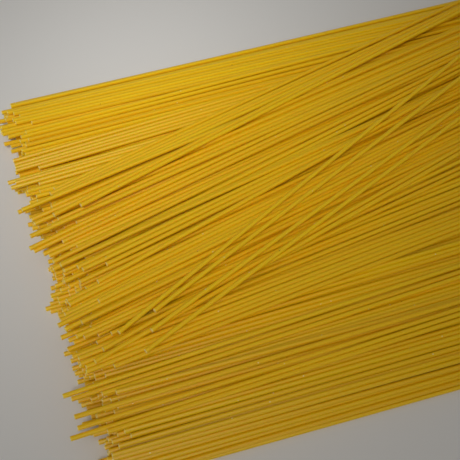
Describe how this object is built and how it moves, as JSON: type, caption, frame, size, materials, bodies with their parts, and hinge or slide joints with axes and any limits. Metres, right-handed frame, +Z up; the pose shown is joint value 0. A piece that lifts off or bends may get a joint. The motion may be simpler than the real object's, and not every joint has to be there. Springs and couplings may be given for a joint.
{
  "type": "bundle of dry spaghetti",
  "caption": "Flat heap of long straight dry spaghetti, laid loosely side by side with slanting sheaves and loose strands across the top, cut ends ragged.",
  "frame": {"origin": "on the surface the heap lies on, under the middle of the heap", "axes": "+X along the strands of the lower lay, +Y towards the far side of the heap, +Z up"},
  "size_m": [0.2712, 0.2116, 0.0265],
  "materials": {
    "pasta": "satin"
  },
  "bodies": {
    "root": {"spaghetti_bundle": "pasta", "loose_strand_1": "pasta", "loose_strand_2": "pasta", "loose_strand_3": "pasta", "loose_strand_4": "pasta"}
  },
  "joints": []
}
